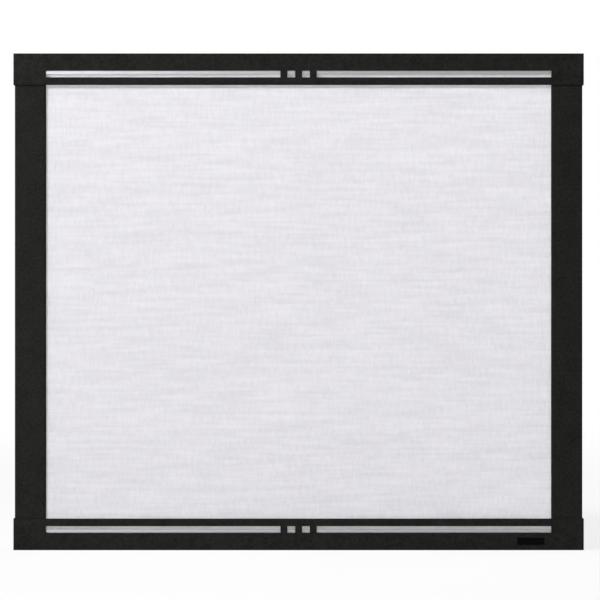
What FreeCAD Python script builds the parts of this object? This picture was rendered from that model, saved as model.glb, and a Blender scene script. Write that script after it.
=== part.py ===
import FreeCAD, Part
import itertools
import math
import os
import re
import Sketcher

# A screen front that hangs on the face of a fireplace: a slotted frame of folded sheet steel over a
# panel of wire mesh. Millimetres. As it hangs, +X is to the right, -Y to the front and +Z up. The origin
# is at the middle of the bottom edge, half-way from the frame's front to the tips of the hooks.

SIZES = {
    "width": (933.5, "over the ends of the rails"),
    "height": (813, "over the outer edges of the rails"),
    "frame_depth": (32, "front of the rails to the back of the frame"),
    "skin": (2, "steel sheet of rails and stiles"),
    "bend_radius": (1, "inside of the bends in rails and stiles"),
    "rail_face": (51.5, "height of a rail's face"),
    "stile_face": (51, "width of a stile's face"),
    "return_depth": (6, "front of the rails to the inner edges of the folded returns"),
    "lip": (14, "width of the lips folded inwards at the back"),
    "fit_gap": (0.25, "between pieces that are slid together"),
    "stile_end_gap": (1.5, "ends of the stiles to the rails' flanges"),
    "slot_edge": (28.5, "outer edge of a rail to its slots"),
    "slot_height": (11, "slots and windows"),
    "window_width": (12.5, "small windows between the long slots"),
    "bridge_width": (11.5, "bridges between slots and windows"),
    "mesh_pitch": (4.76, "wire to wire, with four wires of every five left out"),
    "wire": (0.6, "thickness of the wires"),
    "hem_wall": (1, "steel of the hem channels"),
    "hem_bend": (0.4, "inside of the bends in the hem channels"),
    "hem_width": (11, "width of the hem channels"),
    "hem_setback": (23, "outer edge of a rail to the hem behind it"),
    "hem_gap": (0.5, "side hems to the stiles' returns"),
    "mesh_gap": (0.5, "edge of the mesh to the bends of the hem channel"),
    "mesh_tuck": (3, "how far the gaps of the mesh run on inside the hems"),
    "clip_sheet": (1.2, "steel of the mesh clips"),
    "clip_width": (16, "mesh clips"),
    "clip_foot": (11, "foot of a clip, under the nut"),
    "clip_toe": (8, "toe of a clip, over the hem"),
    "clip_gap": (0.6, "clip to the edge of the hem"),
    "rail_clip_inset": (120, "end of a rail to its first clip"),
    "stile_clip_inset": (260, "outer edge of a rail to a stile's first clip"),
    "stud": (4, "diameter of the weld studs"),
    "stud_length": (7.5, "weld studs, from the sheet"),
    "stud_hole_gap": (0.3, "stud to the edge of the hole round it"),
    "corner_stud_inset": (19, "end of a rail to the studs at the corner"),
    "corner_stud_drop": (26, "outer edge of a rail to the stud at the corner"),
    "nut_across": (7, "across the flats of a nut"),
    "nut_height": (3.2, "nut"),
    "thread_gap": (0.05, "stud to nut all round"),
    "hook_sheet": (2, "steel of the hooks"),
    "hook_bend": (1, "inside of the bend in a hook"),
    "hook_inset": (36, "end of a rail to the upright leg of a hook"),
    "hook_base": (20, "width of a hook's base"),
    "hook_height": (40, "height of a hook"),
    "hook_notch": (5, "width of the notch that takes the fireplace's sheet"),
    "hook_root": (26, "foot of a hook to the top of the notch"),
    "hook_tip": (10, "foot of a hook to the tip of the tongue"),
    "hook_tongue": (7, "tongue behind the notch"),
    "hook_shoulder": (9, "corner cut off over the tongue"),
    "hook_lead": (2.5, "corners cut off at the tongue's tip"),
    "hook_stud_inset": (11, "upright leg to the studs of a hook"),
    "hook_stud_end": (9, "foot and top of a hook to its studs"),
    "hook_slot": (9, "height of the slots that let a hook be set up or down"),
    "upper_hook_drop": (180, "top edge of the front to the feet of the upper hooks"),
    "lower_hook_rise": (150, "bottom edge of the front to the feet of the lower hooks"),
    "plate_width": (44, "nameplate"),
    "plate_height": (11.5, "nameplate"),
    "plate_thickness": (0.8, "nameplate"),
    "plate_corner": (1, "rounding of the nameplate"),
    "plate_from_end": (87, "right end of the bottom rail to the middle of the nameplate"),
    "plate_rise": (15, "bottom edge of the front to the middle of the nameplate"),
}

# Sizes that follow from others. Each side has axes of its own: x along the side from its middle,
# y backwards from the front of the rails, z inwards from the outer edge of the front.
FRONT = "(0 - (frame_depth + hook_notch + hook_tongue) / 2)"
STILE_OUTSIDE = "(skin + fit_gap)"
STILE_INSIDE = f"({STILE_OUTSIDE} + stile_face)"
STILE_LENGTH = "(height - 2 * (skin + stile_end_gap))"
STILE_BACK = "(2 * skin)"
OPENING = f"(width - 2 * {STILE_INSIDE})"
SIDE_HEM = f"({STILE_INSIDE} - skin - hem_gap - hem_width)"
MESH_BACK = "(return_depth + 2 * wire)"
HEM_BACK = f"({MESH_BACK} + hem_wall)"
STUD_HOLE = "(stud / 2 + stud_hole_gap)"
BEND_OUTSIDE = "(bend_radius + skin)"
BRIDGE = "(bridge_width / 2)"
WINDOW = f"({BRIDGE} + window_width)"
SLOT = f"({WINDOW} + bridge_width)"
HOOK_DEPTH = f"(frame_depth - {STILE_BACK})"
HOOK_REACH = f"({HOOK_DEPTH} + hook_notch + hook_tongue)"

TURNS = {"bottom": 0, "left": 90, "top": 180, "right": -90}
RAIL_CLIPS = 3
STILE_CLIPS = 2
NEAR = 1e-5

doc = FreeCAD.newDocument("screen_front")
sizes = doc.addObject("Spreadsheet::Sheet", "sizes")
for row, (alias, (number, meaning)) in enumerate(SIZES.items(), 1):
    sizes.set(f"A{row}", alias)
    sizes.set(f"B{row}", str(number))
    sizes.set(f"C{row}", meaning)
    sizes.setAlias(f"B{row}", alias)
doc.recompute()
pieces = []


def cells(text):
    """A formula with each size's name changed to its cell in the sheet."""
    return re.sub(r"[a-z_]+", lambda m: f"sizes.{m[0]}" if m[0] in SIZES else m[0], text)


def number_of(text):
    """What a formula comes to."""
    return float(sizes.evalExpression(text))


def bind(item, **formulas):
    """Ties properties of a document object to formulas. Two underscores stand for a dot."""
    for name, text in formulas.items():
        item.setExpression(name.replace("__", "."), cells(text))


def new_body(label):
    body = doc.addObject("PartDesign::Body", label)
    body.Label = label
    return body


def keep(piece, label):
    """Takes a finished document object as a sub-part."""
    piece.Label = label
    pieces.append(piece)
    return piece


def sketch_on(body, role, name, offset=None):
    sketch = body.newObject("Sketcher::SketchObject", name)
    plane = next(item for item in body.Origin.OriginFeatures if item.Role == role)
    sketch.AttachmentSupport = (plane, [""])
    sketch.MapMode = "FlatFace"
    if offset:
        bind(sketch, AttachmentOffset__Base__z=offset)
    return sketch


def hold(sketch, kind, *where, formula):
    """A constraint that takes its value from a formula."""
    index = sketch.addConstraint(Sketcher.Constraint(kind, *where, number_of(formula)))
    sketch.setExpression(f"Constraints[{index}]", cells(formula))


def outline(sketch, corners):
    """A closed outline of straight lines, each corner held by its two coordinates."""
    first = sketch.GeometryCount
    points = [FreeCAD.Vector(number_of(u), number_of(v), 0) for u, v in corners]
    count = len(points)
    for i in range(count):
        sketch.addGeometry(Part.LineSegment(points[i], points[(i + 1) % count]))
    for i, (u, v) in enumerate(corners):
        following = first + (i + 1) % count
        sketch.addConstraint(Sketcher.Constraint("Coincident", first + i, 2, following, 1))
        hold(sketch, "DistanceX", -1, 1, first + i, 1, formula=u)
        hold(sketch, "DistanceY", -1, 1, first + i, 1, formula=v)


def rectangle(sketch, left, right, low, high):
    outline(sketch, [(left, low), (right, low), (right, high), (left, high)])


def circle(sketch, u, v, radius):
    middle = FreeCAD.Vector(number_of(u), number_of(v), 0)
    index = sketch.addGeometry(Part.Circle(middle, FreeCAD.Vector(0, 0, 1), number_of(radius)))
    hold(sketch, "DistanceX", -1, 1, index, 3, formula=u)
    hold(sketch, "DistanceY", -1, 1, index, 3, formula=v)
    hold(sketch, "Radius", index, formula=radius)


def corner_tip(sketch, u, v, radius):
    """What a bend leaves out of a square corner at (u, v). The bend is to the right of it and below."""
    right, low = f"({u} + {radius})", f"({v} - {radius})"
    corners = [(u, low), (u, v), (right, v)]
    below, tip, beside = (FreeCAD.Vector(number_of(a), number_of(b), 0) for a, b in corners)
    middle = FreeCAD.Vector(number_of(right), number_of(low), 0)
    ring = Part.Circle(middle, FreeCAD.Vector(0, 0, 1), number_of(radius))
    sketch.addGeometry(Part.LineSegment(below, tip))
    sketch.addGeometry(Part.LineSegment(tip, beside))
    sketch.addGeometry(Part.ArcOfCircle(ring, math.pi / 2, math.pi))
    for i, (a, b) in enumerate(corners):
        sketch.addConstraint(Sketcher.Constraint("Coincident", i, 2, (i + 1) % len(corners), 1))
        hold(sketch, "DistanceX", -1, 1, i, 1, formula=a)
        hold(sketch, "DistanceY", -1, 1, i, 1, formula=b)
    hold(sketch, "Radius", len(corners) - 1, formula=radius)


def built(feature):
    """Recomputes, and stops at a feature that failed."""
    doc.recompute()
    if not feature.isValid():
        raise RuntimeError(f"{feature.Name}: {feature.getStatusString()}")
    return feature


def pad(body, sketch, length, both_ways=False, reverse=False):
    feature = body.newObject("PartDesign::Pad", f"{sketch.Name}_pad")
    feature.Profile = sketch
    feature.Midplane = both_ways
    feature.Reversed = reverse
    bind(feature, Length=length)
    return built(feature)


def pocket(body, sketch, length, both_ways=False, reverse=False):
    before = body.Shape.Volume
    feature = body.newObject("PartDesign::Pocket", f"{sketch.Name}_pocket")
    feature.Profile = sketch
    feature.Midplane = both_ways
    feature.Reversed = reverse
    bind(feature, Length=length)
    built(feature)
    if body.Shape.Volume > before - NEAR:
        raise RuntimeError(f"{feature.Name} cuts nothing")
    return feature


def spots(text):
    """Where a formula puts an edge. A formula after +- stands for both signs."""
    if text.startswith("+-"):
        return (number_of(text[2:]), -number_of(text[2:]))
    return (number_of(text),)


def edges_at(shape, place):
    """The names of a shape's edges that lie all along at the coordinates of a place."""
    found = []
    for where in itertools.product(*(spots(text) for text in place.values())):
        for i, edge in enumerate(shape.Edges, 1):
            ends = [[getattr(end.Point, axis) for axis in place] for end in edge.Vertexes]
            if all(abs(a - b) < NEAR for end in ends for a, b in zip(end, where)):
                found.append(f"Edge{i}")
    if not found:
        raise RuntimeError(f"no edge at {place}")
    return found


def dress_edges(body, kind, name, places, **formulas):
    tip = body.Tip
    feature = body.newObject(kind, name)
    feature.Base = (tip, [edge for place in places for edge in edges_at(tip.Shape, place)])
    bind(feature, **formulas)
    return built(feature)


def round_edges(body, name, radius, *places):
    return dress_edges(body, "PartDesign::Fillet", name, places, Radius=radius)


def cut_edges(body, name, size, *places):
    return dress_edges(body, "PartDesign::Chamfer", name, places, Size=size)


def on_side(piece, side):
    """Turns a piece from the side's own axes to its place in the front."""
    turn = FreeCAD.Rotation(FreeCAD.Vector(0, 1, 0), TURNS[side])
    piece.Placement = FreeCAD.Placement(FreeCAD.Vector(), turn)
    across = {"left": "0 - width / 2", "right": "width / 2"}.get(side, "0")
    up = {"bottom": "0", "top": "height"}.get(side, "height / 2")
    bind(piece, Placement__Base__x=across, Placement__Base__y=FRONT, Placement__Base__z=up)


def copies(master, label, places, side=None):
    """Separate solids in a group: one master at each place (x, y, z), on a side's axes if one is named."""
    links = []
    for i, (x, y, z) in enumerate(places, 1):
        link = doc.addObject("App::Link", f"{label}_{i}")
        link.setLink(master)
        bind(link, Placement__Base__x=x, Placement__Base__y=y, Placement__Base__z=z)
        links.append(link)
    group = doc.addObject("Part::Compound", label)
    group.Links = links
    if side:
        on_side(group, side)
    doc.recompute()
    return group


def rail(side):
    """A pan: face, outer flange and end flanges, with a lip at the back and a return along the opening."""
    label = f"{side}_rail"
    body = new_body(label)
    block = sketch_on(body, "YZ_Plane", f"{label}_block")
    rectangle(block, "0", "frame_depth", "0", "rail_face")
    pad(body, block, "width", both_ways=True)
    round_edges(
        body,
        f"{label}_bends",
        BEND_OUTSIDE,
        {"y": "0", "z": "0"},
        {"y": "0", "x": "+-width / 2"},
    )
    hollow = sketch_on(body, "XZ_Plane", f"{label}_hollow", "0 - frame_depth")
    inside = "width / 2 - skin"
    rectangle(hollow, f"0 - ({inside})", inside, "skin", "rail_face + skin")
    pocket(body, hollow, "frame_depth - skin", reverse=True)
    round_edges(
        body,
        f"{label}_inner_bends",
        "bend_radius",
        {"y": "skin", "z": "skin"},
        {"y": "skin", "x": f"+-{inside}"},
    )
    lip = sketch_on(body, "XZ_Plane", f"{label}_lip", "0 - frame_depth")
    lip_end = f"(width / 2 - {STILE_OUTSIDE} - lip - fit_gap)"
    rectangle(lip, f"0 - {lip_end}", lip_end, "skin / 2", "lip")
    pad(body, lip, "skin")
    inner = sketch_on(body, "YZ_Plane", f"{label}_return")
    return_length = f"{OPENING} - 2 * fit_gap"
    rectangle(inner, "skin / 2", "return_depth", "rail_face - skin", "rail_face")
    pad(body, inner, return_length, both_ways=True)
    round_edges(body, f"{label}_inner_fold", "bend_radius", {"y": "skin", "z": "rail_face - skin"})
    # The face is folded over the opening only, and stays flat in front of the stiles.
    fold = sketch_on(body, "YZ_Plane", f"{label}_fold")
    corner_tip(fold, "0", "rail_face", BEND_OUTSIDE)
    pocket(body, fold, return_length, both_ways=True)
    slots = sketch_on(body, "XZ_Plane", f"{label}_slots")
    low, high = "slot_edge", "slot_edge + slot_height"
    rectangle(slots, f"0 - {OPENING} / 2", f"0 - {SLOT}", low, high)
    rectangle(slots, f"0 - {WINDOW}", f"0 - {BRIDGE}", low, high)
    rectangle(slots, BRIDGE, WINDOW, low, high)
    rectangle(slots, SLOT, f"{OPENING} / 2", low, high)
    pocket(body, slots, "2 * skin")
    on_side(body, side)
    return keep(body, label)


def stile(side):
    """A channel: face, outer flange, lip at the back and return, which stops short of the mesh's hems."""
    label = f"{side}_stile"
    body = new_body(label)
    section = sketch_on(body, "YZ_Plane", f"{label}_section")
    outside, inside = STILE_OUTSIDE, STILE_INSIDE
    wall, turned = f"{outside} + skin", f"{inside} - skin"
    lip_edge = f"{outside} + lip"
    outline(
        section,
        [
            ("skin", outside),
            ("frame_depth", outside),
            ("frame_depth", lip_edge),
            ("frame_depth - skin", lip_edge),
            ("frame_depth - skin", wall),
            (STILE_BACK, wall),
            (STILE_BACK, turned),
            ("return_depth", turned),
            ("return_depth", inside),
            ("skin", inside),
        ],
    )
    pad(body, section, STILE_LENGTH, both_ways=True)
    round_edges(
        body,
        f"{label}_bends",
        BEND_OUTSIDE,
        {"y": "skin", "z": outside},
        {"y": "frame_depth", "z": outside},
        {"y": "skin", "z": inside},
    )
    round_edges(
        body,
        f"{label}_inner_bends",
        "bend_radius",
        {"y": STILE_BACK, "z": wall},
        {"y": "frame_depth - skin", "z": wall},
        {"y": STILE_BACK, "z": turned},
    )
    ends = sketch_on(body, "XY_Plane", f"{label}_ends", inside)
    start = "(height / 2 - hem_setback - hem_width - hem_gap)"
    stop = f"{STILE_LENGTH} / 2"
    deep = "return_depth + skin"
    rectangle(ends, f"0 - {stop}", f"0 - {start}", STILE_BACK, deep)
    rectangle(ends, start, stop, STILE_BACK, deep)
    pocket(body, ends, "skin + bend_radius")
    holes = sketch_on(body, "XZ_Plane", f"{label}_holes")
    for sign in ("0 - ", ""):
        circle(holes, f"{sign}(height / 2 - corner_stud_drop)", "corner_stud_inset", STUD_HOLE)
    pocket(body, holes, f"{STILE_BACK} + skin")
    on_side(body, side)
    return keep(body, label)


def hem(side, setback, half):
    """A channel folded round the edge of the mesh and mitred to its neighbours."""
    label = f"mesh_hem_{side}"
    body = new_body(label)
    section = sketch_on(body, "YZ_Plane", f"{label}_section")
    front, back = "return_depth", MESH_BACK
    web, edge = f"{setback} + hem_wall", f"{setback} + hem_width"
    outline(
        section,
        [
            (f"{front} - hem_wall", setback),
            (f"{back} + hem_wall", setback),
            (f"{back} + hem_wall", edge),
            (back, edge),
            (back, web),
            (front, web),
            (front, edge),
            (f"{front} - hem_wall", edge),
        ],
    )
    pad(body, section, f"2 * {half}", both_ways=True)
    bends = [{"y": place, "z": setback} for place in (f"{front} - hem_wall", f"{back} + hem_wall")]
    round_edges(body, f"{label}_bends", "hem_bend + hem_wall", *bends)
    inner_bends = [{"y": place, "z": web} for place in (front, back)]
    round_edges(body, f"{label}_inner_bends", "hem_bend", *inner_bends)
    mitres = sketch_on(body, "XZ_Plane", f"{label}_mitres")
    for sign in ("0 - ", ""):
        outline(
            mitres,
            [
                (f"{sign}{half}", setback),
                (f"{sign}{half}", edge),
                (f"{sign}({half} - hem_width)", edge),
            ],
        )
    pocket(body, mitres, f"{HEM_BACK} + hem_wall")
    on_side(body, side)
    return keep(body, label)


def holed_sheet(label, half_x, low, high, gaps, y):
    """One layer of wires: a flat sheet with a gap between each two wires, its edge bound by the hems."""

    def loop(x0, x1, z0, z1):
        corners = [(x0, z0), (x1, z0), (x1, z1), (x0, z1), (x0, z0)]
        return Part.makePolygon([FreeCAD.Vector(x, 0, z) for x, z in corners])

    edge = loop(-half_x, half_x, low, high)
    sheet = Part.makeFace([edge] + [loop(*gap) for gap in gaps], "Part::FaceMakerCheese")
    piece = doc.addObject("Part::Feature", label)
    piece.Shape = sheet.extrude(FreeCAD.Vector(0, sizes.wire, 0))
    bind(piece, Placement__Base__y=y)
    return keep(piece, label)


def mesh():
    """Upright wires in front, level wires behind them. The gaps run a little way into the hems."""
    binding = "(hem_wall + hem_bend + mesh_gap)"
    half_x = number_of(f"width / 2 - {SIDE_HEM} - {binding}")
    low = number_of(f"hem_setback + {binding}")
    high = sizes.height - low
    gap_x = number_of(f"width / 2 - {SIDE_HEM} - hem_width + mesh_tuck")
    gap_low = number_of("hem_setback + hem_width - mesh_tuck")
    gap_high = sizes.height - gap_low
    pitch = sizes.mesh_pitch
    space = pitch - sizes.wire

    def starts(first, last):
        count = int((last - first - space) / pitch) + 1
        spare = last - first - (count - 1) * pitch - space
        return [first + spare / 2 + i * pitch for i in range(count)]

    upright = [(x, x + space, gap_low, gap_high) for x in starts(-gap_x, gap_x)]
    level = [(-gap_x, gap_x, z, z + space) for z in starts(gap_low, gap_high)]
    holed_sheet("mesh_warp", half_x, low, high, upright, f"{FRONT} + return_depth")
    holed_sheet("mesh_weft", half_x, low, high, level, f"{FRONT} + return_depth + wire")


def clip_master(name, face, hem_edge):
    """A Z-shaped clip: its forked foot on the back of a face, its toe over the back of a hem."""
    body = new_body(name)
    section = sketch_on(body, "YZ_Plane", f"{name}_section")
    riser = f"({hem_edge} - clip_gap)"
    outer = f"({riser} - clip_sheet)"
    outline(
        section,
        [
            (face, f"{outer} - clip_foot"),
            (face, riser),
            (HEM_BACK, riser),
            (HEM_BACK, f"{riser} + clip_toe"),
            (f"{HEM_BACK} + clip_sheet", f"{riser} + clip_toe"),
            (f"{HEM_BACK} + clip_sheet", outer),
            (f"{face} + clip_sheet", outer),
            (f"{face} + clip_sheet", f"{outer} - clip_foot"),
        ],
    )
    pad(body, section, "clip_width", both_ways=True)
    fork = sketch_on(body, "XZ_Plane", f"{name}_fork")
    side = STUD_HOLE
    rectangle(fork, f"0 - {side}", side, f"{outer} - 2 * clip_foot", f"{clip_stud(hem_edge)} + {side}")
    pocket(body, fork, f"{face} + 2 * clip_sheet")
    return body


def clip_stud(hem_edge):
    """How far inwards the stud of a clip stands."""
    return f"({hem_edge} - clip_gap - clip_sheet - clip_foot / 2)"


def stud_master():
    """A weld stud that stands on y = 0."""
    body = new_body("weld_stud")
    round_bar = sketch_on(body, "XZ_Plane", "weld_stud_round")
    circle(round_bar, "0", "0", "stud / 2")
    pad(body, round_bar, "stud_length", reverse=True)
    return body


def nut_master():
    """A hexagon nut that stands on y = 0."""
    body = new_body("nut")
    hexagon = sketch_on(body, "XZ_Plane", "nut_hexagon")
    flat, side = "nut_across / 2", "nut_across / 2 * tan(30 deg)"
    point = "nut_across / 2 / cos(30 deg)"
    outline(
        hexagon,
        [
            (flat, f"0 - {side}"),
            (flat, side),
            ("0", point),
            (f"0 - {flat}", side),
            (f"0 - {flat}", f"0 - {side}"),
            ("0", f"0 - {point}"),
        ],
    )
    pad(body, hexagon, "nut_height", reverse=True)
    bore = sketch_on(body, "XZ_Plane", "nut_bore")
    circle(bore, "0", "0", "stud / 2 + thread_gap")
    pocket(body, bore, "nut_height")
    return body


def hook(label, way, foot):
    """An angle: base on the back of a stile, upright leg with a notch that takes the fireplace's sheet."""
    body = new_body(label)
    leg = sketch_on(body, "YZ_Plane", f"{label}_leg")
    notch, tip = f"{HOOK_DEPTH} + hook_notch", HOOK_REACH
    outline(
        leg,
        [
            ("0", "0"),
            (HOOK_DEPTH, "0"),
            (HOOK_DEPTH, "hook_root"),
            (notch, "hook_root"),
            (notch, "hook_tip"),
            (tip, "hook_tip"),
            (tip, "hook_height"),
            ("0", "hook_height"),
        ],
    )
    pad(body, leg, "hook_sheet", reverse=way < 0)
    base = sketch_on(body, "XZ_Plane", f"{label}_base")
    sign = "0 - " if way < 0 else ""
    near, far = f"{sign}hook_sheet / 2", f"{sign}hook_base"
    outline(base, [(near, "0"), (far, "0"), (far, "hook_height"), (near, "hook_height")])
    pad(body, base, "hook_sheet", reverse=True)
    cut_edges(body, f"{label}_shoulder", "hook_shoulder", {"y": tip, "z": "hook_height"})
    ends = [{"y": place, "z": "hook_tip"} for place in (notch, tip)]
    cut_edges(body, f"{label}_lead", "hook_lead", *ends)
    round_edges(body, f"{label}_bend", "hook_bend + hook_sheet", {"x": "0", "y": "0"})
    round_edges(body, f"{label}_inner_bend", "hook_bend", {"x": f"{sign}hook_sheet", "y": "hook_sheet"})
    slots = sketch_on(body, "XZ_Plane", f"{label}_slots")
    for height in hook_studs("0"):
        middle = f"{sign}hook_stud_inset"
        low, high = f"{height} - hook_slot / 2", f"{height} + hook_slot / 2"
        rectangle(slots, f"{middle} - {STUD_HOLE}", f"{middle} + {STUD_HOLE}", low, high)
    pocket(body, slots, "2 * hook_sheet")
    bind(
        body,
        Placement__Base__x=f"{sign}(width / 2 - hook_inset)",
        Placement__Base__y=f"{FRONT} + {STILE_BACK}",
        Placement__Base__z=foot,
    )
    return keep(body, label)


def hook_studs(foot):
    """How high the two studs of a hook stand."""
    return (f"({foot} + hook_stud_end)", f"({foot} + hook_height - hook_stud_end)")


def nameplate():
    body = new_body("nameplate")
    plate = sketch_on(body, "XZ_Plane", "nameplate_outline")
    half, rise = "plate_width / 2", "plate_height / 2"
    rectangle(plate, f"0 - {half}", half, f"0 - {rise}", rise)
    pad(body, plate, "plate_thickness")
    round_edges(body, "nameplate_corners", "plate_corner", {"x": f"+-{half}", "z": f"+-{rise}"})
    bind(
        body,
        Placement__Base__x="width / 2 - plate_from_end",
        Placement__Base__y=FRONT,
        Placement__Base__z="plate_rise",
    )
    return keep(body, "nameplate")


def spread(half, inset, count):
    """Formulas for evenly spaced places along a side, symmetrical about its middle."""
    return [f"({half} - {inset}) * {2 * i / (count - 1) - 1}" for i in range(count)]


for side in ("top", "bottom"):
    rail(side)
for side in ("left", "right"):
    stile(side)
mesh()
for side in ("top", "bottom"):
    hem(side, "hem_setback", f"(width / 2 - {SIDE_HEM})")
for side in ("left", "right"):
    hem(side, SIDE_HEM, "(height / 2 - hem_setback)")

HOOKS = {
    "upper_left_hook": ("left", -1, "(height - upper_hook_drop)"),
    "upper_right_hook": ("right", 1, "(height - upper_hook_drop)"),
    "lower_left_hook": ("left", -1, "lower_hook_rise"),
    "lower_right_hook": ("right", 1, "lower_hook_rise"),
}
for label, (_, way, foot) in HOOKS.items():
    hook(label, way, foot)

stud = stud_master()
nut = nut_master()
rail_clip = clip_master("rail_clip", "skin", "hem_setback")
stile_clip = clip_master("stile_clip", STILE_BACK, SIDE_HEM)
along_rail = spread("width / 2", "rail_clip_inset", RAIL_CLIPS)
along_stile = spread("height / 2", "stile_clip_inset", STILE_CLIPS)
CLIPS = {
    "top": (rail_clip, "skin", clip_stud("hem_setback"), along_rail),
    "bottom": (rail_clip, "skin", clip_stud("hem_setback"), along_rail),
    "left": (stile_clip, STILE_BACK, clip_stud(SIDE_HEM), along_stile),
    "right": (stile_clip, STILE_BACK, clip_stud(SIDE_HEM), along_stile),
}
clip_nuts, corner_nuts, hook_nuts = [], [], []
for side, (master, face, inwards, along) in CLIPS.items():
    label = f"mesh_clips_{side}"
    keep(copies(master, label, [(x, "0", "0") for x in along], side), label)
    studs = [(x, face, inwards) for x in along]
    clip_nuts.append((side, [(x, f"{face} + clip_sheet", inwards) for x in along]))
    if side in ("top", "bottom"):
        corners = [f"{sign}(width / 2 - corner_stud_inset)" for sign in ("0 - ", "")]
        studs += [(x, "skin", "corner_stud_drop") for x in corners]
        corner_nuts.append((side, [(x, STILE_BACK, "corner_stud_drop") for x in corners]))
        label = f"{side}_rail_studs"
    else:
        # Along the left side x runs down and along the right side it runs up.
        sign = "0 - " if side == "left" else ""
        heights = [z for at, _, foot in HOOKS.values() if at == side for z in hook_studs(foot)]
        places = [(f"{sign}({z} - height / 2)", "hook_inset - hook_stud_inset") for z in heights]
        studs += [(x, STILE_BACK, z) for x, z in places]
        hook_nuts.append((side, [(x, f"{STILE_BACK} + hook_sheet", z) for x, z in places]))
        label = f"{side}_stile_studs"
    keep(copies(stud, label, studs, side), label)

for label, sides in {"corner_nuts": corner_nuts, "clip_nuts": clip_nuts, "hook_nuts": hook_nuts}.items():
    group = doc.addObject("Part::Compound", label)
    group.Links = [copies(nut, f"{label}_{side}", places, side) for side, places in sides]
    keep(group, label)
nameplate()
doc.recompute()

for item in doc.Objects:
    if {"Invalid", "Error"} & set(item.State):
        raise RuntimeError(f"{item.Name}: {item.State}")
os.makedirs("parts", exist_ok=True)
for piece in pieces:
    if piece.Shape.isNull() or not piece.Shape.isValid():
        raise RuntimeError(f"{piece.Label} has no valid shape")
    piece.Shape.exportStep(f"parts/{piece.Label}.step")
print(f"{len(pieces)} sub-parts")
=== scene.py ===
import math

import bmesh
import bpy
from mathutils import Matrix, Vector


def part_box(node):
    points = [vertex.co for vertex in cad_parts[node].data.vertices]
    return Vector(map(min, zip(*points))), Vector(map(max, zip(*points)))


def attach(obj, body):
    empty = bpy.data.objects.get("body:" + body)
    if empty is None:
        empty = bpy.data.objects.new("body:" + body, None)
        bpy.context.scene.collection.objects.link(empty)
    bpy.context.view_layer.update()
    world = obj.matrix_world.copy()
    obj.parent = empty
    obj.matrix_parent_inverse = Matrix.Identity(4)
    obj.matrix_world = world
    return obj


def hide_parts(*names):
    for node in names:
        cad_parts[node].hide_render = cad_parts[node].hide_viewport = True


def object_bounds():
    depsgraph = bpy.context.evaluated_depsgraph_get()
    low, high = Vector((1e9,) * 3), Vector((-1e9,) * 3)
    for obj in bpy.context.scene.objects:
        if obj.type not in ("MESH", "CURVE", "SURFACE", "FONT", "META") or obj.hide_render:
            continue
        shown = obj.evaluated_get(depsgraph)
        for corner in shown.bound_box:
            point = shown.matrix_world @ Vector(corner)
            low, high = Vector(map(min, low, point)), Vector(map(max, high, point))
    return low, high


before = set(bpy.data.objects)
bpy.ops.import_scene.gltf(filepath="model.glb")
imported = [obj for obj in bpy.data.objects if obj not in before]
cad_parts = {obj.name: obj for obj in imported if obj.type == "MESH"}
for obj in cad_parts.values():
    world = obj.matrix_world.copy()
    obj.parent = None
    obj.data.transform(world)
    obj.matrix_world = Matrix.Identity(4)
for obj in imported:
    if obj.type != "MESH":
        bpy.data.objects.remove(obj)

bl_info = {
    "name": "Fireplace screen front",
    "version": (1, 0, 0),
    "blender": (4, 5, 0),
    "location": "View3D > Sidebar > Screen front",
    "description": "Dresses a slotted steel screen front and its wire mesh, and sets up its studio",
    "category": "Object",
}

MM = 0.001
CAD_LOW, CAD_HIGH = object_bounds()
MESH_LOW, MESH_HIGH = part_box("mesh_warp")
MESH_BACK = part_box("mesh_weft")[1].y
RAIL_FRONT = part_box("top_rail")[0].y

RAILS = ("top_rail", "bottom_rail")
STILES = ("left_stile", "right_stile")
SIDES = ("top", "bottom", "left", "right")
HEMS = tuple(f"mesh_hem_{side}" for side in SIDES)
CLIPS = tuple(f"mesh_clips_{side}" for side in SIDES)
HOOKS = tuple(f"{level}_{side}_hook" for level in ("upper", "lower") for side in ("left", "right"))
STUDS = tuple(f"{member}_studs" for member in RAILS + STILES)
NUTS = ("corner_nuts", "clip_nuts", "hook_nuts")

# Vertices of a CAD node that are nearer to each other than this, in metres, are one.
WELD = 1e-6
# Faces that turn by less than this make one flat face.
FLAT = math.radians(0.5)
# An edge is rounded where its faces meet at more than this.
SHARP = math.radians(35)


def linear(hex_colour):
    """The linear colour of an sRGB hex value such as "#8a8f94"."""
    parts = [int(hex_colour[start : start + 2], 16) / 255 for start in (1, 3, 5)]
    return tuple(part / 12.92 if part <= 0.04045 else ((part + 0.055) / 1.055) ** 2.4 for part in parts)


def colour(name, hex_colour, description):
    """A setting for a colour."""
    return bpy.props.FloatVectorProperty(
        name=name, description=description, subtype="COLOR", size=3, min=0, max=1, default=linear(hex_colour)
    )


def length(name, millimetres, description):
    """A setting for a length."""
    return bpy.props.FloatProperty(
        name=name, description=description, subtype="DISTANCE", unit="LENGTH", min=0, default=millimetres * MM
    )


def power(name, watts, description):
    """A setting for the power of a lamp."""
    return bpy.props.FloatProperty(name=name, description=description, unit="POWER", min=0, default=watts)


class MeshSettings(bpy.types.PropertyGroup):
    """The wire cloth in the opening."""

    pitch: length("Pitch", 0.952, "From wire to wire")
    wire: length("Wire", 0.58, "Diameter of the wires")
    wander: length("Wander", 0.08, "How far each wire strays from its line")
    wander_length: length("Wander length", 110, "Length over which a wire strays and comes back")
    drift: length("Drift", 0.9, "How far the cloth as a whole is drawn out of square")
    drift_length: length("Drift length", 170, "Size of the areas in which the cloth drifts")
    steps: bpy.props.IntProperty(name="Steps", description="Straight runs in each wire", min=1, default=27)
    seed: bpy.props.FloatProperty(name="Seed", description="Another seed gives another cloth", default=3.7)


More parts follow.
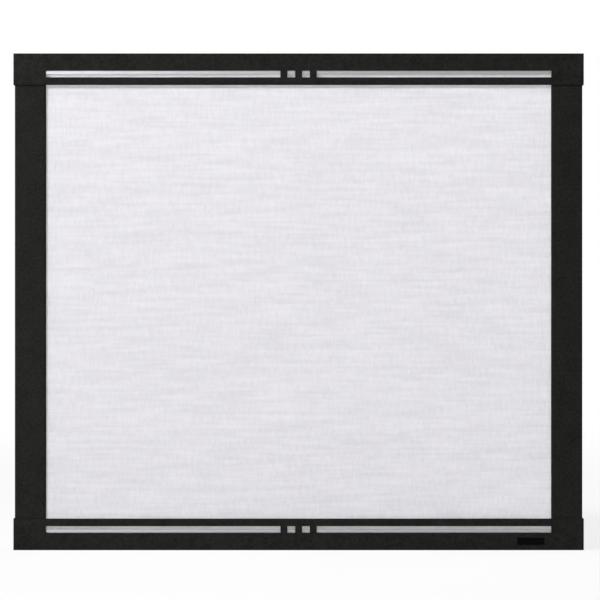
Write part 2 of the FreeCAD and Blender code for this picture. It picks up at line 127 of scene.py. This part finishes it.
class EdgeSettings(bpy.types.PropertyGroup):
    """How the edges of the metal are rounded."""

    coated: length("Coated sheet", 0.35, "Edge radius that powder coat leaves on sheet")
    bare: length("Bare sheet", 0.25, "Edge radius of deburred sheet")
    plate: length("Nameplate", 0.3, "Edge radius of the moulded plate")


class FastenerSettings(bpy.types.PropertyGroup):
    """Threads and nuts."""

    thread_pitch: length("Thread pitch", 0.7, "From turn to turn")
    thread_depth: length("Thread depth", 0.36, "From crest to root")
    thread_end: length("Thread end", 0.432, "From the ends of a stud to its thread")
    bore_gap: length("Bore gap", 0.045, "From a thread's crest to the bore of its nut")
    chamfer: length("Nut chamfer", 0.12, "How far inside the flats the chamfer of a nut starts")


class FinishSettings(bpy.types.PropertyGroup):
    """Colours of the finishes."""

    powder: colour("Powder coat", "#191917", "Black powder coat of the frame")
    wire: colour("Wire", "#e7e6e9", "Drawn stainless wire")
    sheet: colour("Hem sheet", "#b9babd", "Mill-finish stainless sheet")
    zinc: colour("Zinc", "#c6c6c2", "Bright zinc plate")
    copper: colour("Copper flash", "#c08a63", "Thin copper on the weld studs")
    plate: colour("Nameplate", "#020202", "Gloss black of the blank plate")


class StageSettings(bpy.types.PropertyGroup):
    """Camera, light and floor."""

    camera_distance: length("Camera distance", 4000, "Camera to the front of the rails")
    view_width: length("View width", 981.2, "Width that the picture takes in at the front of the rails")
    aim_right: length("Aim right", 2.3, "Middle of the picture, to the right of the middle of the front")
    aim_up: length("Aim up", 2.9, "Middle of the picture, above the middle of the front")
    key: power("Key light", 705, "Main lamp, high at the left")
    fill: power("Fill light", 15, "Lamp that the hems mirror at the left")
    side: power("Side light", 0.8, "Lamp that the hems mirror at the right")
    low: power("Low light", 3, "Lamp near the floor at the left")
    back: power("Back light", 70, "Lamp behind the front, at the right")
    room: bpy.props.FloatProperty(name="Room light", description="Light all round", min=0, default=0.12)
    white: colour("Paper", "#d4d4d2", "Floor and walls")


SETTINGS = {
    "screen_mesh": MeshSettings,
    "screen_edges": EdgeSettings,
    "screen_fasteners": FastenerSettings,
    "screen_finish": FinishSettings,
    "screen_stage": StageSettings,
}


def add(tree, kind, inputs=None, **settings):
    """Adds a node with its settings. Each input is a value, or a socket that is linked to it."""
    node = tree.nodes.new(kind)
    for name, value in settings.items():
        setattr(node, name, value)
    for key, value in (inputs or {}).items():
        if isinstance(value, bpy.types.NodeSocket):
            tree.links.new(value, node.inputs[key])
        else:
            node.inputs[key].default_value = value
    return node


# Nearly all of a noise pattern lies between these two values.
NOISE_LOW, NOISE_HIGH = 0.3, 0.7


def per_metre(millimetres):
    """The scale of a pattern whose features are so many millimetres across."""
    return 1 / (millimetres * MM)


def surface(name, base, **values):
    """A new material with one Principled shader, and the coordinates that its patterns read."""
    material = bpy.data.materials.new(name)
    material.use_nodes = True
    tree = material.node_tree
    tree.nodes.clear()
    shader = add(tree, "ShaderNodeBsdfPrincipled", {"Base Color": (*base, 1), **values})
    add(tree, "ShaderNodeOutputMaterial", {"Surface": shader.outputs["BSDF"]})
    place = add(tree, "ShaderNodeTexCoord").outputs["Object"]
    return material, tree, shader, place


def shades(tree, pattern, base, low, high, span=(NOISE_LOW, NOISE_HIGH)):
    """A colour that goes from low to high times the base as a pattern goes through its span."""
    share = add(
        tree, "ShaderNodeMapRange", {"Value": pattern, "From Min": span[0], "From Max": span[1]}
    )
    return add(
        tree,
        "ShaderNodeMix",
        {
            "Factor": share.outputs["Result"],
            "A": (*(low * part for part in base), 1),
            "B": (*(high * part for part in base), 1),
        },
        data_type="RGBA",
    ).outputs["Result"]


def powder_coat(base):
    """Fine-textured polyester powder, baked on steel: a matt black, a little warm, with a grain.

    The grain breaks up the light. It is really about 0.4 mm, too fine to show, so it is drawn at 4 mm.
    """
    material, tree, shader, place = surface(
        "powder_coat_fine_texture", base, **{"Roughness": 0.6, "Specular IOR Level": 0.05}
    )
    grain = add(
        tree,
        "ShaderNodeTexNoise",
        {"Vector": place, "Scale": per_metre(4), "Detail": 4, "Roughness": 0.6},
    ).outputs["Fac"]
    cloud = add(tree, "ShaderNodeTexNoise", {"Vector": place, "Scale": per_metre(28), "Detail": 2})
    mixed = add(tree, "ShaderNodeMix", {"Factor": 0.2, "A": grain, "B": cloud.outputs["Fac"]})
    tone = shades(tree, mixed.outputs["Result"], base, low=0.4, high=1.6)
    tree.links.new(tone, shader.inputs["Base Color"])
    rough = add(
        tree,
        "ShaderNodeMapRange",
        {"Value": grain, "From Min": NOISE_LOW, "From Max": NOISE_HIGH, "To Min": 0.54, "To Max": 0.68},
    )
    tree.links.new(rough.outputs["Result"], shader.inputs["Roughness"])
    bump = add(tree, "ShaderNodeBump", {"Height": grain, "Strength": 0.35, "Distance": 0.12 * MM})
    tree.links.new(bump.outputs["Normal"], shader.inputs["Normal"])
    return material


def drawn_wire(base):
    """Bright drawn stainless wire: a clear grey metal, with lighter and duller lengths in faint streaks.

    The wires of a weave wave in and out, so they catch light from all round. Here they are straight, and a
    higher roughness stands for that. A single wire is too fine to show, so the streaks are drawn several
    wires wide: long level ones, and short upright ones across them.
    """
    material, tree, shader, place = surface(
        "drawn_stainless_wire", base, **{"Metallic": 1, "Roughness": 0.75}
    )
    streaks = []
    # How wide and how high the streaks are, in millimetres.
    for wide, high in ((72, 6), (3.3, 13)):
        scale = (per_metre(wide), per_metre(wide), per_metre(high))
        drawn = add(tree, "ShaderNodeMapping", {"Vector": place, "Scale": scale})
        noise = add(tree, "ShaderNodeTexNoise", {"Vector": drawn.outputs["Vector"], "Scale": 1, "Detail": 2})
        streaks.append(noise.outputs["Fac"])
    both = add(tree, "ShaderNodeMix", {"Factor": 0.45, "A": streaks[0], "B": streaks[1]})
    # Two patterns mixed stay nearer to the middle than one.
    tone = shades(tree, both.outputs["Result"], base, low=0.945, high=1.042, span=(0.36, 0.64))
    tree.links.new(tone, shader.inputs["Base Color"])
    return material


def mill_sheet(base):
    """Mill-finish stainless sheet: pale grey, with the fine long lines of rolling.

    The lines are finer than 0.1 mm. They are drawn about 1 mm wide and 12 mm long, so that they show.
    """
    material, tree, shader, place = surface(
        "mill_finish_stainless_sheet", base, **{"Metallic": 1, "Roughness": 0.36}
    )
    stretched = add(tree, "ShaderNodeMapping", {"Vector": place, "Scale": (1, 12, 12)})
    line = add(
        tree,
        "ShaderNodeTexNoise",
        {"Vector": stretched.outputs["Vector"], "Scale": per_metre(12), "Detail": 4},
    ).outputs["Fac"]
    tree.links.new(shades(tree, line, base, low=0.86, high=1.08), shader.inputs["Base Color"])
    rough = add(
        tree,
        "ShaderNodeMapRange",
        {"Value": line, "From Min": NOISE_LOW, "From Max": NOISE_HIGH, "To Min": 0.3, "To Max": 0.46},
    )
    tree.links.new(rough.outputs["Result"], shader.inputs["Roughness"])
    return material


def zinc_plate(base):
    """Bright zinc plate, clear passivated: a cool grey metal with cloudy patches, the light ones glossier."""
    material, tree, shader, place = surface(
        "bright_zinc_plate", base, **{"Metallic": 1, "Roughness": 0.34}
    )
    cloud = add(
        tree,
        "ShaderNodeTexNoise",
        {"Vector": place, "Scale": per_metre(7), "Detail": 5, "Roughness": 0.6},
    ).outputs["Fac"]
    tree.links.new(shades(tree, cloud, base, low=0.8, high=1.08), shader.inputs["Base Color"])
    rough = add(
        tree,
        "ShaderNodeMapRange",
        {"Value": cloud, "From Min": NOISE_LOW, "From Max": NOISE_HIGH, "To Min": 0.44, "To Max": 0.26},
    )
    tree.links.new(rough.outputs["Result"], shader.inputs["Roughness"])
    return material


def zinc_of(scene):
    """The one zinc plate that clips, hooks and nuts share."""
    return bpy.data.materials.get("bright_zinc_plate") or zinc_plate(scene.screen_finish.zinc)


def copper_flash(base):
    """A thin copper flash on steel: warm, with duller brown patches where it has begun to tarnish."""
    material, tree, shader, place = surface(
        "copper_flashed_steel", base, **{"Metallic": 1, "Roughness": 0.38}
    )
    tarnish = add(tree, "ShaderNodeTexNoise", {"Vector": place, "Scale": per_metre(2.5), "Detail": 4})
    tone = shades(tree, tarnish.outputs["Fac"], base, low=0.6, high=1.05)
    tree.links.new(tone, shader.inputs["Base Color"])
    return material


def gloss_plate(base):
    """Moulded gloss black plastic: nearly black, with a clear shine and the faint waves of a moulding."""
    material, tree, shader, place = surface(
        "moulded_gloss_black", base, **{"Roughness": 0.3, "Specular IOR Level": 0.04}
    )
    wave = add(
        tree, "ShaderNodeTexNoise", {"Vector": place, "Scale": per_metre(4), "Detail": 2}
    ).outputs["Fac"]
    bump = add(tree, "ShaderNodeBump", {"Height": wave, "Strength": 0.1, "Distance": 0.05 * MM})
    tree.links.new(bump.outputs["Normal"], shader.inputs["Normal"])
    tree.links.new(shades(tree, wave, base, low=0.8, high=1.3), shader.inputs["Base Color"])
    return material


# The share of the paper that is plain white near the foot of the front. Between two distances from there, in
# metres, it grows to all of it.
NEAR_SHARE = 0.82
NEAR_PAPER, FAR_PAPER = 0.8, 4.0


def paper(base):
    """Matt white paper. For what looks at it, a share of it is plain white, and more of it further away.

    So the background stays white, and the floor keeps the object's shadow.
    """
    material = bpy.data.materials.new("white_paper")
    material.use_nodes = True
    tree = material.node_tree
    tree.nodes.clear()
    path = add(tree, "ShaderNodeLightPath").outputs
    looks = path["Is Camera Ray"]
    for ray in ("Is Glossy Ray", "Is Transmission Ray"):
        looks = add(tree, "ShaderNodeMath", {0: looks, 1: path[ray]}, operation="MAXIMUM").outputs["Value"]
    place = add(tree, "ShaderNodeTexCoord").outputs["Object"]
    away = add(tree, "ShaderNodeVectorMath", {0: place}, operation="LENGTH")
    white = add(
        tree,
        "ShaderNodeMapRange",
        {
            "Value": away.outputs["Value"],
            "From Min": NEAR_PAPER,
            "From Max": FAR_PAPER,
            "To Min": NEAR_SHARE,
            "To Max": 1,
        },
        interpolation_type="SMOOTHSTEP",
    )
    share = add(tree, "ShaderNodeMath", {0: looks, 1: white.outputs["Result"]}, operation="MULTIPLY")
    mixed = add(
        tree,
        "ShaderNodeMixShader",
        {
            0: share.outputs["Value"],
            1: add(tree, "ShaderNodeBsdfDiffuse", {"Color": (*base, 1)}).outputs["BSDF"],
            2: add(tree, "ShaderNodeEmission", {"Strength": 1}).outputs["Emission"],
        },
    )
    add(tree, "ShaderNodeOutputMaterial", {"Surface": mixed.outputs["Shader"]})
    return material


def new_object(name, data):
    """An object in the scene that shows a mesh, a light or a camera."""
    item = bpy.data.objects.new(name, data)
    bpy.context.scene.collection.objects.link(item)
    return item


def plain_mesh(piece):
    """Takes the result of an object's modifiers as its own mesh."""
    graph = bpy.context.evaluated_depsgraph_get()
    made = bpy.data.meshes.new_from_object(
        piece.evaluated_get(graph), preserve_all_data_layers=True, depsgraph=graph
    )
    piece.modifiers.clear()
    piece.data = made
    made.name = piece.name
    if not made.polygons:
        raise RuntimeError(f"{piece.name} came out empty")
    return piece


def dress(piece, node):
    """Takes a finished piece into the part, in place of its CAD node."""
    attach(piece, "root")
    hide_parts(node)


def rounded_copy(node, radius, material):
    """A copy of a node's solids with the sharp edges rounded, as they are after deburring or coating."""
    mesh = bpy.data.meshes.new(f"{node}_rounded")
    work = bmesh.new()
    work.from_mesh(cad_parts[node].data)
    bmesh.ops.remove_doubles(work, verts=work.verts, dist=WELD)
    bmesh.ops.dissolve_limit(work, angle_limit=FLAT, verts=work.verts, edges=work.edges)
    work.to_mesh(mesh)
    work.free()
    mesh.materials.append(material)
    mesh.shade_smooth()
    piece = new_object(mesh.name, mesh)
    bevel = piece.modifiers.new("rounded edges", "BEVEL")
    bevel.width = radius
    bevel.segments = 2
    bevel.limit_method = "ANGLE"
    bevel.angle_limit = SHARP
    even = piece.modifiers.new("flat faces", "WEIGHTED_NORMAL")
    even.weight = 100
    return plain_mesh(piece)


SOCKETS = {
    int: "NodeSocketInt",
    float: "NodeSocketFloat",
    Vector: "NodeSocketVector",
    bpy.types.Material: "NodeSocketMaterial",
}

# How many sides the wires and the shapes of the fasteners have.
WIRE_SIDES = 4
CREST_SIDES = 4
CORE_SIDES = 16
NUT_SIDES = 6
BORE_SIDES = 20
CONE_SIDES = 36


def geometry_tree(name, values):
    """A new Geometry Nodes tree with an input for each value."""
    tree = bpy.data.node_groups.new(name, "GeometryNodeTree")
    tree.interface.new_socket("Geometry", in_out="INPUT", socket_type="NodeSocketGeometry")
    for key, value in values.items():
        tree.interface.new_socket(key, in_out="INPUT", socket_type=SOCKETS[type(value)])
    tree.interface.new_socket("Geometry", in_out="OUTPUT", socket_type="NodeSocketGeometry")
    return tree, add(tree, "NodeGroupInput").outputs


def close_tree(tree, geometry, material):
    """Ends a tree: the copies are made real and get their material."""
    real = add(tree, "GeometryNodeRealizeInstances", {"Geometry": geometry}).outputs["Geometry"]
    dressed = add(tree, "GeometryNodeSetMaterial", {"Geometry": real, "Material": material})
    add(tree, "NodeGroupOutput", {"Geometry": dressed.outputs["Geometry"]})


def grow(name, start, tree, values):
    """Runs a tree on a starting mesh and keeps the result as a plain mesh."""
    piece = new_object(name, start)
    modifier = piece.modifiers.new(tree.name, "NODES")
    modifier.node_group = tree
    for item in tree.interface.items_tree:
        if item.in_out == "INPUT" and item.name in values:
            modifier[item.identifier] = values[item.name]
    plain_mesh(piece)
    # Cylinders and cones bring an empty material slot, which goes.
    piece.data.materials.clear()
    piece.data.materials.append(values["Material"])
    return piece


def wire_tree(values):
    """One layer of wires side by side. Each wire strays a little by itself, and all drift together."""
    tree, given = geometry_tree("wire_layer", values)
    row = add(
        tree,
        "GeometryNodeMeshLine",
        {"Count": given["Wires"], "Start Location": given["First wire"], "Offset": given["Step"]},
    )
    wire = add(
        tree,
        "GeometryNodeCurvePrimitiveLine",
        {"Direction": given["Along"], "Length": given["Length"]},
        mode="DIRECTION",
    )
    wire = add(
        tree, "GeometryNodeResampleCurve", {"Curve": wire.outputs["Curve"], "Count": given["Points"]}
    )
    wires = add(
        tree,
        "GeometryNodeInstanceOnPoints",
        {"Points": row.outputs["Mesh"], "Instance": wire.outputs["Curve"]},
    )
    wires = add(tree, "GeometryNodeRealizeInstances", {"Geometry": wires.outputs["Instances"]})
    place = add(tree, "GeometryNodeInputPosition").outputs["Position"]
    # Noise that differs from wire to wire, and noise that is shared by all the wires of an area.
    along, across = (
        add(tree, "ShaderNodeVectorMath", {0: place, 1: given[key]}, operation="DOT_PRODUCT").outputs["Value"]
        for key in ("Noise along", "Noise across")
    )
    own = add(tree, "ShaderNodeCombineXYZ", {"X": along, "Y": across, "Z": given["Seed"]})
    stray = add(tree, "ShaderNodeTexNoise", {"Vector": own.outputs["Vector"], "Scale": 1, "Detail": 1})
    shared = add(tree, "ShaderNodeVectorMath", {0: place, 1: given["Drift length"]}, operation="DIVIDE")
    drift = add(
        tree,
        "ShaderNodeTexNoise",
        {"Vector": shared.outputs["Vector"], "W": given["Seed"], "Scale": 1},
        noise_dimensions="4D",
    )
    moves = []
    for noise, reach in ((stray, given["Stray"]), (drift, given["Drift"])):
        swing = add(tree, "ShaderNodeMapRange", {"Value": noise.outputs["Fac"], "To Min": -1, "To Max": 1})
        move = add(
            tree, "ShaderNodeVectorMath", {0: reach, "Scale": swing.outputs["Result"]}, operation="SCALE"
        )
        moves.append(move.outputs["Vector"])
    offset = add(tree, "ShaderNodeVectorMath", {0: moves[0], 1: moves[1]}, operation="ADD")
    wires = add(
        tree,
        "GeometryNodeSetPosition",
        {"Geometry": wires.outputs["Geometry"], "Offset": offset.outputs["Vector"]},
    )
    section = add(
        tree, "GeometryNodeCurvePrimitiveCircle", {"Resolution": WIRE_SIDES, "Radius": given["Radius"]}
    )
    tubes = add(
        tree,
        "GeometryNodeCurveToMesh",
        {"Curve": wires.outputs["Geometry"], "Profile Curve": section.outputs["Curve"], "Fill Caps": True},
    )
    close_tree(tree, tubes.outputs["Mesh"], given["Material"])
    return tree


def solids_of(node):
    """The boxes of a node's separate solids, in the order in which the node's mesh has them."""
    work = bmesh.new()
    work.from_mesh(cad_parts[node].data)
    bmesh.ops.remove_doubles(work, verts=work.verts, dist=WELD)
    seen = set()
    boxes = []
    for first in work.verts:
        if first in seen:
            continue
        seen.add(first)
        reached = [first]
        for vert in reached:
            near = {edge.other_vert(vert) for edge in vert.link_edges} - seen
            seen |= near
            reached.extend(near)
        axes = list(zip(*(vert.co for vert in reached)))
        boxes.append((Vector(map(min, axes)), Vector(map(max, axes))))
    work.free()
    return boxes


def feet_of(node):
    """A mesh with a point at the foot of each fastener of a node, and the box of one of them.

    Each point says how far its fastener is turned about its axis.
    """
    boxes = solids_of(node)
    mesh = bpy.data.meshes.new(f"{node}_feet")
    feet = [((low.x + high.x) / 2, low.y, (low.z + high.z) / 2) for low, high in boxes]
    mesh.from_pydata(feet, [], [])
    turns = mesh.attributes.new("turn", "FLOAT", "POINT")
    for item, (low, high) in zip(turns.data, boxes):
        item.value = math.pi / 2 if high.x - low.x > high.z - low.z else 0
    return mesh, boxes[0]


def stood_on_points(tree, given, geometry):
    """Stands a copy of a shape, made along Z, along Y on each point."""
    turned = add(tree, "GeometryNodeTransform", {"Geometry": geometry, "Rotation": (-math.pi / 2, 0, 0)})
    turn = add(tree, "GeometryNodeInputNamedAttribute", {"Name": "turn"}, data_type="FLOAT")
    spin = add(tree, "ShaderNodeCombineXYZ", {"Y": turn.outputs["Attribute"]})
    return add(
        tree,
        "GeometryNodeInstanceOnPoints",
        {
            "Points": given["Geometry"],
            "Instance": turned.outputs["Geometry"],
            "Rotation": spin.outputs["Vector"],
        },
    ).outputs["Instances"]


def stud_tree(values):
    """A round core with a thread wound round it."""
    tree, given = geometry_tree("threaded_stud", values)
    root = given["Root radius"]
    core = add(
        tree, "GeometryNodeMeshCylinder", {"Vertices": CORE_SIDES, "Radius": root, "Depth": given["Length"]}
    )
    core = add(
        tree, "GeometryNodeTransform", {"Geometry": core.outputs["Mesh"], "Translation": given["Middle"]}
    )
    helix = add(
        tree,
        "GeometryNodeCurveSpiral",
        {
            "Resolution": CORE_SIDES,
            "Rotations": given["Turns"],
            "Start Radius": root,
            "End Radius": root,
            "Height": given["Thread length"],
        },
    )
    helix = add(
        tree,
        "GeometryNodeTransform",
        {"Geometry": helix.outputs["Curve"], "Translation": given["Thread start"]},
    )
    crest = add(
        tree,
        "GeometryNodeCurvePrimitiveCircle",
        {"Resolution": CREST_SIDES, "Radius": given["Thread depth"]},
    )
    thread = add(
        tree,
        "GeometryNodeCurveToMesh",
        {"Curve": helix.outputs["Geometry"], "Profile Curve": crest.outputs["Curve"], "Fill Caps": True},
    )
    both = add(tree, "GeometryNodeJoinGeometry")
    for solid in (core.outputs["Geometry"], thread.outputs["Mesh"]):
        tree.links.new(solid, both.inputs["Geometry"])
    close_tree(tree, stood_on_points(tree, given, both.outputs["Geometry"]), given["Material"])
    return tree


def nut_tree(values):
    """A hexagon with a bore, its corners turned off at 30 degrees at both ends by two cones."""
    tree, given = geometry_tree("hexagon_nut", values)
    hexagon = add(
        tree,
        "GeometryNodeMeshCylinder",
        {"Vertices": NUT_SIDES, "Radius": given["Corner radius"], "Depth": given["Height"]},
    )
    hexagon = add(
        tree,
        "GeometryNodeTransform",
        {"Geometry": hexagon.outputs["Mesh"], "Rotation": (0, 0, math.pi / NUT_SIDES)},
    )
    bore = add(
        tree,
        "GeometryNodeMeshCylinder",
        {"Vertices": BORE_SIDES, "Radius": given["Bore radius"], "Depth": given["Bore length"]},
    )
    shape = add(
        tree,
        "GeometryNodeMeshBoolean",
        {"Mesh 1": hexagon.outputs["Geometry"], "Mesh 2": bore.outputs["Mesh"]},
        operation="DIFFERENCE",
    ).outputs["Mesh"]
    narrow, wide = given["Cone narrow"], given["Cone wide"]
    for top, bottom in ((narrow, wide), (wide, narrow)):
        cone = add(
            tree,
            "GeometryNodeMeshCone",
            {
                "Vertices": CONE_SIDES,
                "Radius Top": top,
                "Radius Bottom": bottom,
                "Depth": given["Cone height"],
            },
        )
        cone = add(
            tree,
            "GeometryNodeTransform",
            {"Geometry": cone.outputs["Mesh"], "Translation": given["Cone foot"]},
        )
        cut = add(tree, "GeometryNodeMeshBoolean", operation="INTERSECT")
        for solid in (shape, cone.outputs["Geometry"]):
            tree.links.new(solid, cut.inputs["Mesh 2"])
        shape = cut.outputs["Mesh"]
    nut = add(tree, "GeometryNodeTransform", {"Geometry": shape, "Translation": given["Middle"]})
    close_tree(tree, stood_on_points(tree, given, nut.outputs["Geometry"]), given["Material"])
    return tree


class SCREEN_OT_frame(bpy.types.Operator):
    """Rounds the edges of the rails and stiles and gives them their powder coat"""

    bl_idname = "screen.frame"
    bl_label = "Frame"

    def execute(self, context):
        coat = powder_coat(context.scene.screen_finish.powder)
        for node in RAILS + STILES:
            dress(rounded_copy(node, context.scene.screen_edges.coated, coat), node)
        return {"FINISHED"}


class SCREEN_OT_wire_mesh(bpy.types.Operator):
    """Lays the upright and the level wires of the mesh"""

    bl_idname = "screen.wire_mesh"
    bl_label = "Wire mesh"

    def execute(self, context):
        cloth = context.scene.screen_mesh
        metal = drawn_wire(context.scene.screen_finish.wire)
        size = MESH_HIGH - MESH_LOW
        right, up = Vector((1, 0, 0)), Vector((0, 0, 1))
        layers = {
            "mesh_warp": (up, right, size.z, size.x, MESH_LOW.y + cloth.wire / 2),
            "mesh_weft": (right, up, size.x, size.z, MESH_BACK - cloth.wire / 2),
        }
        tree = None
        for node, (along, across, run, breadth, depth) in layers.items():
            # The outermost wires stay inside the hems however far they drift.
            room = cloth.drift + cloth.wander + cloth.wire / 2
            wires = int((breadth - 2 * room) / cloth.pitch) + 1
            margin = (breadth - (wires - 1) * cloth.pitch) / 2
            values = {
                "Wires": wires,
                "First wire": Vector((MESH_LOW.x, depth, MESH_LOW.z)) + across * margin,
                "Step": across * cloth.pitch,
                "Along": along,
                "Length": run,
                "Points": cloth.steps + 1,
                "Radius": cloth.wire / 2,
                "Noise along": along / cloth.wander_length,
                "Noise across": across / cloth.pitch,
                "Stray": across * cloth.wander,
                "Drift": across * cloth.drift,
                "Drift length": Vector((cloth.drift_length,) * 3),
                "Seed": cloth.seed,
                "Material": metal,
            }
            tree = tree or wire_tree(values)
            piece = grow(f"{node}_wires", bpy.data.meshes.new(f"{node}_start"), tree, values)
            piece.data.shade_smooth()
            dress(piece, node)
        return {"FINISHED"}


class SCREEN_OT_hems(bpy.types.Operator):
    """Rounds the edges of the hem channels and gives them their mill finish"""

    bl_idname = "screen.hems"
    bl_label = "Hems"

    def execute(self, context):
        steel = mill_sheet(context.scene.screen_finish.sheet)
        for node in HEMS:
            dress(rounded_copy(node, context.scene.screen_edges.bare, steel), node)
        return {"FINISHED"}


class SCREEN_OT_clips_and_hooks(bpy.types.Operator):
    """Rounds the edges of the clips and hooks and gives them their zinc"""

    bl_idname = "screen.clips_and_hooks"
    bl_label = "Clips and hooks"

    def execute(self, context):
        zinc = zinc_of(context.scene)
        for node in CLIPS + HOOKS:
            dress(rounded_copy(node, context.scene.screen_edges.bare, zinc), node)
        return {"FINISHED"}


class SCREEN_OT_studs(bpy.types.Operator):
    """Cuts the threads of the weld studs and gives them their copper"""

    bl_idname = "screen.studs"
    bl_label = "Studs"

    def execute(self, context):
        fit = context.scene.screen_fasteners
        copper = copper_flash(context.scene.screen_finish.copper)
        tree = None
        for node in STUDS:
            feet, (low, high) = feet_of(node)
            stud = high - low
            run = stud.y - 2 * fit.thread_end
            values = {
                "Length": stud.y,
                "Middle": Vector((0, 0, stud.y / 2)),
                "Root radius": stud.x / 2 - fit.thread_depth,
                "Thread depth": fit.thread_depth,
                "Thread start": Vector((0, 0, fit.thread_end)),
                "Thread length": run,
                "Turns": run / fit.thread_pitch,
                "Material": copper,
            }
            tree = tree or stud_tree(values)
            dress(grow(f"{node}_threaded", feet, tree, values), node)
        return {"FINISHED"}


# Slope of a nut's chamfer to the end of the nut.
CHAMFER_SLOPE = math.tan(math.radians(30))


class SCREEN_OT_nuts(bpy.types.Operator):
    """Makes the chamfered nuts and gives them their zinc"""

    bl_idname = "screen.nuts"
    bl_label = "Nuts"

    def execute(self, context):
        fit = context.scene.screen_fasteners
        zinc = zinc_of(context.scene)
        # All the studs have the same thread, so any of them gives its width.
        low, high = solids_of(STUDS[-1])[0]
        thread = high.x - low.x
        tree = None
        for node in NUTS:
            feet, (low, high) = feet_of(node)
            nut = high - low
            flat = min(nut.x, nut.z) / 2
            # A cone is as wide as the chamfer's edge where it meets the end of the nut, and it reaches past
            # both ends.
            reach = nut.y / 2 + fit.chamfer
            narrow = flat - fit.chamfer - fit.chamfer / CHAMFER_SLOPE
            values = {
                "Height": nut.y,
                "Middle": Vector((0, 0, nut.y / 2)),
                "Corner radius": flat / math.cos(math.pi / NUT_SIDES),
                "Bore radius": thread / 2 + fit.bore_gap,
                "Bore length": 2 * nut.y,
                "Cone narrow": narrow,
                "Cone wide": narrow + 2 * reach / CHAMFER_SLOPE,
                "Cone height": 2 * reach,
                "Cone foot": Vector((0, 0, -reach)),
                "Material": zinc,
            }
            tree = tree or nut_tree(values)
            dress(grow(f"{node}_chamfered", feet, tree, values), node)
        return {"FINISHED"}


class SCREEN_OT_nameplate(bpy.types.Operator):
    """Rounds the edges of the blank nameplate and gives it its gloss"""

    bl_idname = "screen.nameplate"
    bl_label = "Nameplate"

    def execute(self, context):
        gloss = gloss_plate(context.scene.screen_finish.plate)
        dress(rounded_copy("nameplate", context.scene.screen_edges.plate, gloss), "nameplate")
        return {"FINISHED"}


def flat_sheet(name, corners, material):
    """One flat face of the studio."""
    mesh = bpy.data.meshes.new(name)
    mesh.from_pydata(corners, [], [tuple(range(len(corners)))])
    mesh.materials.append(material)
    new_object(name, mesh)


def lamp(name, watts, place, aim, size):
    """A rectangular lamp that points at its aim."""
    data = bpy.data.lights.new(name, "AREA")
    data.energy = watts
    data.shape = "RECTANGLE"
    data.size, data.size_y = size
    item = new_object(name, data)
    item.location = place
    item.rotation_euler = (aim - Vector(place)).to_track_quat("-Z", "Y").to_euler()


# Where the lamps stand, and how wide and high they are, in metres. The key comes from high at the left, so
# the top rail and the left stile cast a shadow on the mesh.
LAMPS = {
    "key": ((-4.2, -3.4, 4.85), (1.1, 1.1)),
    "fill": ((-1.1, -3.0, 1.0), (1.2, 0.5)),
    "side": ((0.95, -3.0, 1.05), (0.6, 0.3)),
    "low": ((-1.1, -1.6, 0.2), (1.6, 0.3)),
    "back": ((3.4, 2.4, 2.6), (1.5, 1.5)),
}

# The studio in metres: how far the floor reaches to the front and to both sides, where the back wall stands,
# and how high the walls are. The floor lies just clear of the object, so that no two faces share a plane.
REACH, BACK_WALL, WALL_HEIGHT = 30, 7, 6
FLOOR_GAP = 0.2 * MM
WALLS = ("front_wall", "right_wall", "back_wall", "left_wall")


class SCREEN_OT_stage(bpy.types.Operator):
    """Sets up the white floor and walls, the lamps and the camera"""

    bl_idname = "screen.stage"
    bl_label = "Stage"

    def execute(self, context):
        stage = context.scene.screen_stage
        white = paper(stage.white)
        ground = CAD_LOW.z - FLOOR_GAP
        top = ground + WALL_HEIGHT
        corners = ((-REACH, -REACH), (REACH, -REACH), (REACH, BACK_WALL), (-REACH, BACK_WALL))
        flat_sheet("floor", [(*corner, ground) for corner in corners], white)
        for name, near, far in zip(WALLS, corners, corners[1:] + corners[:1]):
            flat_sheet(name, [(*near, ground), (*far, ground), (*far, top), (*near, top)], white)
        middle = Vector((0, RAIL_FRONT, CAD_HIGH.z / 2))
        for name, (place, size) in LAMPS.items():
            lamp(f"{name}_light", getattr(stage, name), place, middle, size)
        world = bpy.data.worlds.new("studio")
        world.use_nodes = True
        sky = world.node_tree.nodes["Background"]
        sky.inputs["Color"].default_value = (1, 1, 1, 1)
        sky.inputs["Strength"].default_value = stage.room
        context.scene.world = world
        data = bpy.data.cameras.new("camera")
        data.lens = data.sensor_width * stage.camera_distance / stage.view_width
        camera = new_object("camera", data)
        camera.location = middle + Vector((stage.aim_right, -stage.camera_distance, stage.aim_up))
        camera.rotation_euler = (math.pi / 2, 0, 0)
        context.scene.camera = camera
        context.scene.view_settings.view_transform = "Standard"
        return {"FINISHED"}


OPERATORS = (
    SCREEN_OT_frame,
    SCREEN_OT_wire_mesh,
    SCREEN_OT_hems,
    SCREEN_OT_clips_and_hooks,
    SCREEN_OT_studs,
    SCREEN_OT_nuts,
    SCREEN_OT_nameplate,
    SCREEN_OT_stage,
)


class SCREEN_PT_panel(bpy.types.Panel):
    """Lists the settings and the pieces"""

    bl_idname = "SCREEN_PT_panel"
    bl_label = "Screen front"
    bl_space_type = "VIEW_3D"
    bl_region_type = "UI"
    bl_category = "Screen front"

    def draw(self, context):
        for name, group in SETTINGS.items():
            box = self.layout.box()
            for key in group.__annotations__:
                box.prop(getattr(context.scene, name), key)
        for operator in OPERATORS:
            self.layout.operator(operator.bl_idname)


CLASSES = (*SETTINGS.values(), *OPERATORS, SCREEN_PT_panel)


def register():
    for item in CLASSES:
        bpy.utils.register_class(item)
    for name, group in SETTINGS.items():
        setattr(bpy.types.Scene, name, bpy.props.PointerProperty(type=group))


def unregister():
    for name in SETTINGS:
        delattr(bpy.types.Scene, name)
    for item in reversed(CLASSES):
        bpy.utils.unregister_class(item)


def main():
    register()
    for operator in OPERATORS:
        area, name = operator.bl_idname.split(".")
        getattr(getattr(bpy.ops, area), name)()


if __name__ == "__main__":
    main()
